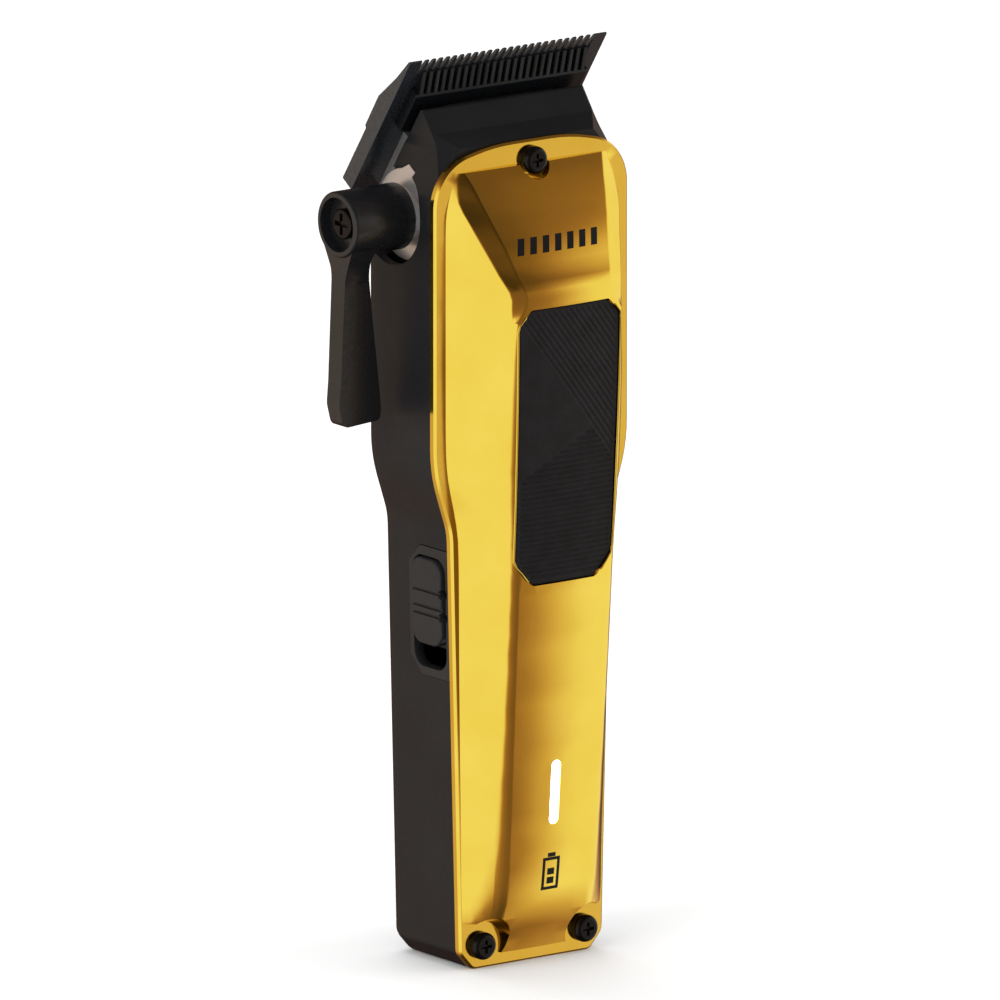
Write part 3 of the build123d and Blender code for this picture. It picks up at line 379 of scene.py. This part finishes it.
def pad_frame():
    """The thin rolled lip of the cover round the pad."""
    cover, pad = front_tree("front_cover"), front_tree("grip_pad")
    low, high = PAD_OUTLINE[0][0], PAD_OUTLINE[-1][0]
    right = []
    for i in range(BEAD_STEPS + 1):
        z = low + (high - low) * i / BEAD_STEPS
        right.append((pad_half_width(z) + BEAD_R, z))
    centres = []
    for x, z in right + [(-x, z) for x, z in reversed(right)]:
        y = front_y(cover, x * OUTSIDE, z, front_y(pad, x * INSIDE, z, RIM_Y))
        centres.append(Vector((x, y - BEAD_RISE * BEAD_R, z)))
    points, faces = [], []
    for k, centre in enumerate(centres):
        ahead, behind = centres[(k + 1) % len(centres)], centres[k - 1]
        forward = (ahead - behind).normalized()
        out = Vector((0, -1, 0))
        side = forward.cross(out).normalized()
        for j in range(BEAD_SIDES):
            turn = 2 * math.pi * j / BEAD_SIDES
            points.append(centre + BEAD_R * (side * math.cos(turn) + out * math.sin(turn)))
    for k in range(len(centres)):
        after = (k + 1) % len(centres)
        for j in range(BEAD_SIDES):
            beside = (j + 1) % BEAD_SIDES
            faces.append((k * BEAD_SIDES + j, k * BEAD_SIDES + beside, after * BEAD_SIDES + beside,
                          after * BEAD_SIDES + j))
    mesh = bpy.data.meshes.new("pad_frame")
    mesh.from_pydata(points, [], faces)
    mesh.materials.append(GOLD)
    for polygon in mesh.polygons:
        polygon.use_smooth = True
    lip = bpy.data.objects.new("pad_frame", mesh)
    bpy.context.collection.objects.link(lip)
    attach(lip, "body")


INK = moulded_plastic("mark_black", (0.004, 0.004, 0.005), (0.008, 0.008, 0.009), 0.42, specular=0.2)


MARK_GRID = 6                            # columns and rows of one mark
MARK_HEIGHT, MARK_SKIRT = 0.00004, 0.0002
BARS, BAR_STEP = 7, 0.0029
BAR_WIDTH, BAR_HEIGHT, BAR_SLANT = 0.0015, 0.0030, 0.0010
BAR_FOOT_Z = 0.1413
SIGN_HALF, SIGN_LOW, SIGN_HIGH, SIGN_LINE = 0.0020, 0.0150, 0.0215, 0.0006
NUB_HALF, NUB_GAP, NUB_HEIGHT = 0.0009, 0.0001, 0.0008
LEVELS, LEVEL_STEP, LEVEL_HEIGHT = 2, 0.0018, 0.0013


def mark(name, tree, corner, across, up):
    """A thin black inlay: the parallelogram from corner along across and up, as (x, z)."""
    def place(s, t):
        return corner[0] + across[0] * s + up[0] * t, corner[1] + across[1] * s + up[1] * t

    def level(x, z):
        return MARK_HEIGHT

    laid_sheet(name, tree, MARK_GRID, MARK_GRID, place, level, MARK_SKIRT, INK, smooth=False)


def generic_marks():
    """A row of slanted bars on the slope and a plain battery sign near the tail."""
    cover = front_tree("front_cover")
    first_x = -(BARS - 1) / 2 * BAR_STEP - BAR_WIDTH / 2 - BAR_SLANT / 2
    for i in range(BARS):
        corner = (first_x + i * BAR_STEP, BAR_FOOT_Z)
        mark(f"slope_bar_{i}", cover, corner, (BAR_WIDTH, 0), (BAR_SLANT, BAR_HEIGHT))
    inner_half, side_up = SIGN_HALF - SIGN_LINE, (0, SIGN_HIGH - SIGN_LOW)
    sides = {
        "left": ((-SIGN_HALF, SIGN_LOW), (SIGN_LINE, 0), side_up),
        "right": ((inner_half, SIGN_LOW), (SIGN_LINE, 0), side_up),
        "foot": ((-inner_half, SIGN_LOW), (2 * inner_half, 0), (0, SIGN_LINE)),
        "top": ((-inner_half, SIGN_HIGH - SIGN_LINE), (2 * inner_half, 0), (0, SIGN_LINE)),
        "nub": ((-NUB_HALF, SIGN_HIGH + NUB_GAP), (2 * NUB_HALF, 0), (0, NUB_HEIGHT)),
    }
    for side, (corner, across, up) in sides.items():
        mark(f"battery_sign_{side}", cover, corner, across, up)
    level_half = SIGN_HALF - 2 * SIGN_LINE
    for i in range(LEVELS):
        corner = (-level_half, SIGN_LOW + 2 * SIGN_LINE + i * LEVEL_STEP)
        mark(f"battery_level_{i}", cover, corner, (2 * level_half, 0), (0, LEVEL_HEIGHT))


grip_surface()
pad_frame()
generic_marks()


# ---------------------------------------------------------------- floor, light and camera
def camera_axes():
    """The camera's direction from the clipper, and the picture's right and up directions."""
    azimuth, elevation = math.radians(CAMERA_AZIMUTH), math.radians(CAMERA_ELEVATION)
    level = math.cos(elevation)
    towards = Vector((math.sin(azimuth) * level, -math.cos(azimuth) * level, math.sin(elevation)))
    right = Vector((math.cos(azimuth), math.sin(azimuth), 0))
    return towards, right, towards.cross(right)


FLOOR_RADIUS, FLOOR_SIDES = 14.0, 96


def floor():
    """A wide pale floor. Polished pieces reflect the light tent instead of it."""
    points = [(0, 0, 0)]
    for i in range(FLOOR_SIDES):
        turn = 2 * math.pi * i / FLOOR_SIDES
        points.append((FLOOR_RADIUS * math.cos(turn), FLOOR_RADIUS * math.sin(turn), 0))
    faces = [(0, i + 1, (i + 1) % FLOOR_SIDES + 1) for i in range(FLOOR_SIDES)]
    mesh = bpy.data.meshes.new("floor")
    mesh.from_pydata(points, [], faces)
    ground = bpy.data.objects.new("floor", mesh)
    bpy.context.collection.objects.link(ground)
    material, tree, shader = new_material("floor_white")
    tree.links.new(ramp(tree, noise(tree, 3, 2), [(0.2, 0.83), (0.8, 0.86)]), shader.inputs["Base Color"])
    shader.inputs["Roughness"].default_value = 0.9
    mesh.materials.append(material)
    ground.visible_glossy = False


def angle_of(tree, direction):
    """Azimuth and elevation of a direction, each from 0 to 1; azimuth 0.5 is in front of the clipper."""
    parts = tree.nodes.new("ShaderNodeSeparateXYZ")
    tree.links.new(direction, parts.inputs["Vector"])

    def maths(operation, *inputs):
        node = tree.nodes.new("ShaderNodeMath")
        node.operation = operation
        for entry, value in zip(node.inputs, inputs):
            if isinstance(value, (int, float)):
                entry.default_value = value
            else:
                tree.links.new(value, entry)
        return node.outputs["Value"]

    x, y, z = (parts.outputs[axis] for axis in "XYZ")
    turn = maths("ARCTAN2", x, maths("MULTIPLY", y, -1.0))
    level = maths("ARCSINE", z)
    azimuth = maths("MULTIPLY_ADD", turn, 1 / (2 * math.pi), 0.5)
    elevation = maths("MULTIPLY_ADD", level, 1 / math.pi, 0.5)
    return azimuth, elevation


# how bright the tent is round the clipper, by degrees of azimuth, and up it, by degrees of elevation
TENT_ROUND = [
    (-180, 0.25), (-164, 0.5), (-144, 0.62), (-118, 0.85), (-100, 1.0), (-50, 1.0), (-42, 0.8),
    (-34, 0.45), (-22, 0.32), (0, 0.24), (20, 0.22), (27, 0.27), (32, 0.42), (37, 0.74), (42, 1.0),
    (95, 1.0), (110, 0.6), (124, 0.16), (150, 0.10), (180, 0.25),
]
TENT_UP = [
    (-90, 0.05), (-58, 0.12), (-40, 0.6), (-28, 1.0), (12, 1.0), (21, 0.96), (26, 0.6), (31, 0.3),
    (40, 0.2), (55, 0.16), (90, 0.25),
]
# the glow's colour, from its dark parts to its bright ones
TENT_COLOURS = [
    (0.0, (0.012, 0.011, 0.011)), (0.15, (0.125, 0.075, 0.062)), (0.36, (0.37, 0.205, 0.15)),
    (0.66, (0.73, 0.53, 0.38)), (1.0, (1.0, 0.99, 0.9)),
]


TENT_RADIUS, TENT_RINGS, TENT_SIDES = 4.0, 24, 48
TENT_Z = 0.09                    # height of the tent's middle


def light_tent():
    """What the polished surfaces reflect: soft panels left and right with dark gaps between them.
    Only reflections see it."""
    points, faces = [], []
    for j in range(TENT_RINGS + 1):
        level = math.pi * (j / TENT_RINGS - 0.5)
        reach = TENT_RADIUS * math.cos(level)
        for i in range(TENT_SIDES):
            turn = 2 * math.pi * i / TENT_SIDES
            points.append((reach * math.sin(turn), -reach * math.cos(turn),
                           TENT_RADIUS * math.sin(level) + TENT_Z))
    for j in range(TENT_RINGS):
        ring, above = j * TENT_SIDES, (j + 1) * TENT_SIDES
        for i in range(TENT_SIDES):
            k = (i + 1) % TENT_SIDES
            faces.append((ring + i, ring + k, above + k, above + i))
    mesh = bpy.data.meshes.new("light_tent")
    mesh.from_pydata(points, [], faces)
    tent = bpy.data.objects.new("light_tent", mesh)
    bpy.context.collection.objects.link(tent)
    material = bpy.data.materials.new("tent_glow")
    material.use_nodes = True
    tree = material.node_tree
    tree.nodes.clear()
    output = tree.nodes.new("ShaderNodeOutputMaterial")
    glow = tree.nodes.new("ShaderNodeEmission")
    tree.links.new(glow.outputs["Emission"], output.inputs["Surface"])
    coordinates = tree.nodes.new("ShaderNodeTexCoord")
    normalise = tree.nodes.new("ShaderNodeVectorMath")
    normalise.operation = "NORMALIZE"
    tree.links.new(coordinates.outputs["Object"], normalise.inputs[0])
    azimuth, elevation = angle_of(tree, normalise.outputs["Vector"])
    round_ramp = ramp(tree, azimuth, [(angle / 360 + 0.5, value) for angle, value in TENT_ROUND])
    up_ramp = ramp(tree, elevation, [(angle / 180 + 0.5, value) for angle, value in TENT_UP])
    product = tree.nodes.new("ShaderNodeMath")
    product.operation = "MULTIPLY"
    tree.links.new(round_ramp, product.inputs[0])
    tree.links.new(up_ramp, product.inputs[1])
    tree.links.new(ramp(tree, product.outputs["Value"], TENT_COLOURS), glow.inputs["Color"])
    mesh.materials.append(material)
    tent.visible_camera = False
    tent.visible_diffuse = False
    tent.visible_transmission = False
    tent.visible_shadow = False


AIM_Z = 0.095                    # height that the softboxes aim at
WORLD_STRENGTH = 0.92


def softbox(name, azimuth, elevation, distance, width, height, power):
    """An area light aimed at the clipper's middle; azimuth 0 is in front of it, towards -Y."""
    az, el = math.radians(azimuth), math.radians(elevation)
    target = Vector((0, 0, AIM_Z))
    outward = Vector((math.sin(az) * math.cos(el), -math.cos(az) * math.cos(el), math.sin(el)))
    place = target + distance * outward
    light = bpy.data.lights.new(name, "AREA")
    light.shape = "RECTANGLE"
    light.size, light.size_y = width, height
    light.energy = power
    lamp = bpy.data.objects.new(name, light)
    lamp.location = place
    lamp.rotation_euler = (target - place).to_track_quat("-Z", "Y").to_euler()
    lamp.visible_glossy = False
    bpy.context.collection.objects.link(lamp)


def studio():
    softbox("left_softbox", -78, 30, 1.3, 0.9, 1.1, 7)
    softbox("right_softbox", 62, 35, 1.4, 0.8, 1.1, 5)
    softbox("back_softbox", 170, 55, 1.5, 1.2, 0.8, 8)
    world = bpy.data.worlds.new("studio")
    world.use_nodes = True
    background = world.node_tree.nodes["Background"]
    background.inputs["Color"].default_value = (1.0, 1.0, 1.0, 1)
    background.inputs["Strength"].default_value = WORLD_STRENGTH
    bpy.context.scene.world = world


def camera():
    towards, right, up = camera_axes()
    lens = bpy.data.cameras.new("camera")
    lens.sensor_width = 36.0
    lens.lens = lens.sensor_width * CAMERA_DISTANCE / FRAME_WIDTH
    lens.clip_end = CLIP_END
    view = bpy.data.objects.new("camera", lens)
    foot = Vector((0, RIM_Y, 0))
    view.location = foot - right * MIDDLE_LEFT + up * MIDDLE_UP + towards * CAMERA_DISTANCE
    view.rotation_euler = towards.to_track_quat("Z", "Y").to_euler()
    bpy.context.collection.objects.link(view)
    bpy.context.scene.camera = view


floor()
light_tent()
studio()
camera()
bpy.context.scene.view_settings.view_transform = "Standard"
